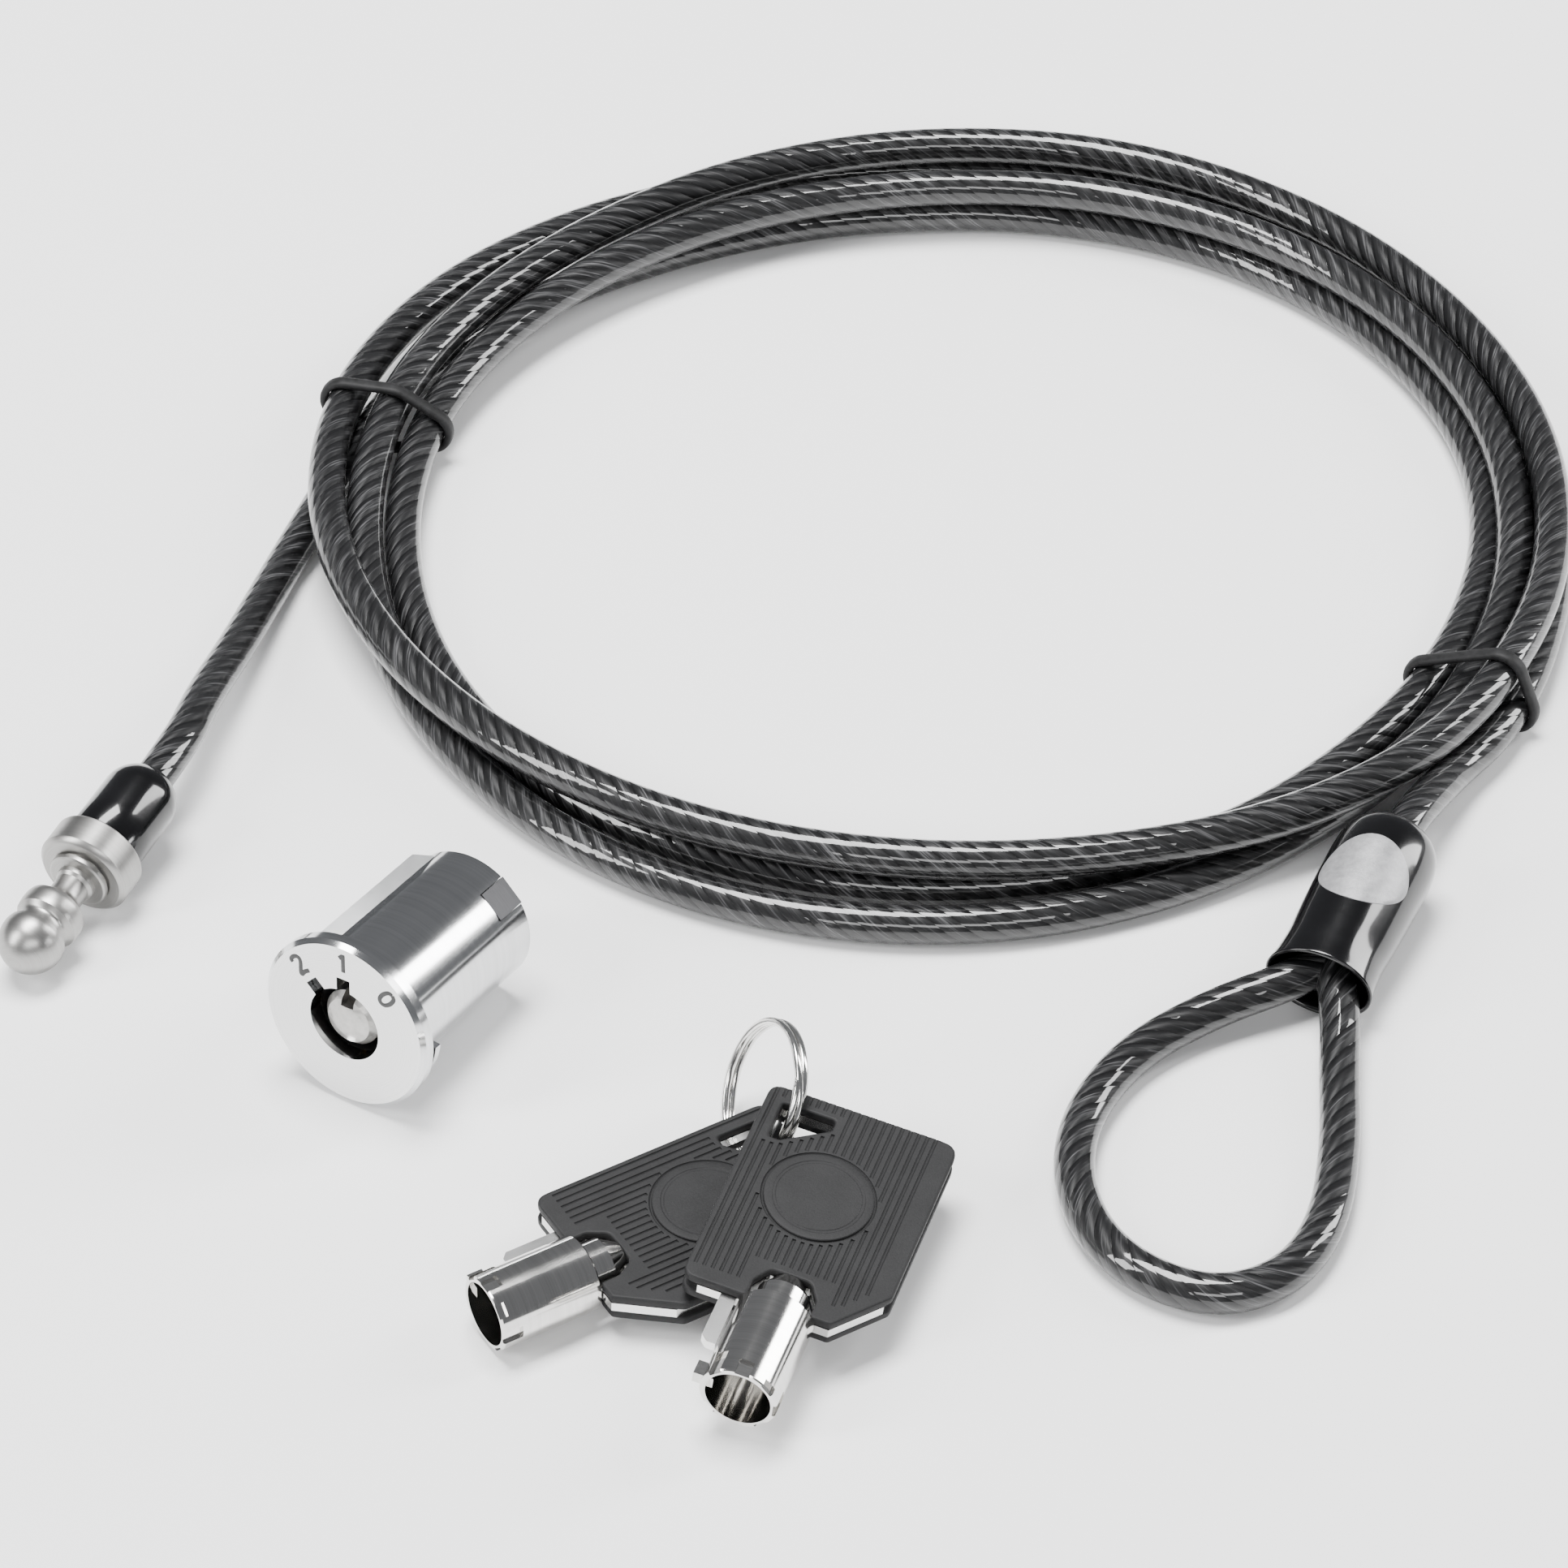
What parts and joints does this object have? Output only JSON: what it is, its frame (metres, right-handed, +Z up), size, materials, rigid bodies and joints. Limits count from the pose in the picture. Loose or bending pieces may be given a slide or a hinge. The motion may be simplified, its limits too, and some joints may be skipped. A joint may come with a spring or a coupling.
{
  "type": "laptop cable lock",
  "caption": "Laptop security cable lock: coated steel cable coiled with two bands, a beaded locking pin, a looped end in a sleeve, a barrel lock and tubular keys on a split ring.",
  "frame": {"origin": "bottom centre of the lock, keys, pin and sleeve as they lie, on the table surface (the loose cable, its coil and its bands left out)", "axes": "+Z up from the table; +Y away from the camera, towards the coil; +X to the right, towards the looped end"},
  "size_m": [0.1812, 0.2236, 0.021],
  "materials": {
    "cable_jacket": "gloss",
    "band_rubber": "matte",
    "boot_vinyl": "gloss",
    "silver_print": "satin",
    "chrome": "polished",
    "satin_nickel": "satin",
    "steel": "satin",
    "aluminium": "satin",
    "brass": "satin",
    "key_plastic": "matte"
  },
  "bodies": {
    "cable": {"cable_pin_tail": "cable_jacket", "cable_coil": "cable_jacket", "cable_sleeve_tail": "cable_jacket", "cable_loop": "cable_jacket", "band_left": "band_rubber", "band_right": "band_rubber", "locking_pin": "steel", "pin_ferrule": "steel", "pin_boot": "boot_vinyl", "loop_sleeve": "boot_vinyl", "loop_ferrule": "aluminium", "sleeve_badge": "silver_print"},
    "lock_body": {"lock_shell": "chrome", "locating_wing": "chrome", "stator": "brass", "cross_pin": "steel", "rear_cap": "chrome"},
    "lock_rotor": {"rotor": "satin_nickel", "bolt_cam": "steel"},
    "key_pins": {"key_pin_1": "brass", "key_pin_2": "brass", "key_pin_3": "brass", "key_pin_4": "brass", "key_pin_5": "brass", "key_pin_6": "brass", "key_pin_7": "brass"},
    "driver_pins": {"driver_pin_1": "steel", "driver_pin_2": "steel", "driver_pin_3": "steel", "driver_pin_4": "steel", "driver_pin_5": "steel", "driver_pin_6": "steel", "driver_pin_7": "steel", "pin_spring_1": "steel", "pin_spring_2": "steel", "pin_spring_3": "steel", "pin_spring_4": "steel", "pin_spring_5": "steel", "pin_spring_6": "steel", "pin_spring_7": "steel"},
    "bolt": {"locking_bolt": "steel"},
    "key_ring": {"split_ring": "chrome"},
    "rear_key": {"rear_key_tube": "chrome", "rear_key_lug": "chrome", "rear_key_blade": "steel", "rear_key_cover_top": "key_plastic", "rear_key_cover_bottom": "key_plastic"},
    "front_key": {"front_key_tube": "chrome", "front_key_lug": "chrome", "front_key_blade": "steel", "front_key_cover_top": "key_plastic", "front_key_cover_bottom": "key_plastic"}
  },
  "joints": [
    {"name": "lock_lift", "type": "slide", "parent": "cable", "child": "lock_body", "axis": [0, 0, 1], "range_m": [0, 0.15]},
    {"name": "rotor_turn", "type": "hinge", "parent": "lock_body", "child": "lock_rotor", "pos_m": [-0.04024, 0.00359, 0.01064], "axis": [0.5283, 0.8422, -0.108], "range_deg": [-45, 45]},
    {"name": "key_pins_press", "type": "slide", "parent": "lock_rotor", "child": "key_pins", "axis": [0.5283, 0.8422, -0.108], "range_m": [0, 0.0012], "stiffness_N_per_m": 300, "springref_m": -0.002},
    {"name": "driver_pins_press", "type": "slide", "parent": "lock_body", "child": "driver_pins", "axis": [0.5283, 0.8422, -0.108], "range_m": [0, 0.0012]},
    {"name": "bolt_slide", "type": "slide", "parent": "lock_body", "child": "bolt", "axis": [0.6136, -0.2908, 0.7341], "range_m": [-0.0012, 0.0012]},
    {"name": "keys_lift", "type": "slide", "parent": "cable", "child": "key_ring", "axis": [0, 0, 1], "range_m": [0, 0.15]},
    {"name": "rear_key_swing", "type": "hinge", "parent": "key_ring", "child": "rear_key", "pos_m": [0.00503, -0.00365, 0.00758], "axis": [-0.8563, -0.2404, 0.4571], "range_deg": [0, 60]},
    {"name": "front_key_swing", "type": "hinge", "parent": "rear_key", "child": "front_key", "pos_m": [0.00503, -0.00365, 0.00758], "axis": [-0.8563, -0.2404, 0.4571], "range_deg": [0, 50]}
  ],
  "couplings": [
    {"joint": "bolt_slide", "follows": "rotor_turn", "m_per_rad": -0.00144},
    {"joint": "driver_pins_press", "follows": "key_pins_press", "ratio": 1}
  ]
}
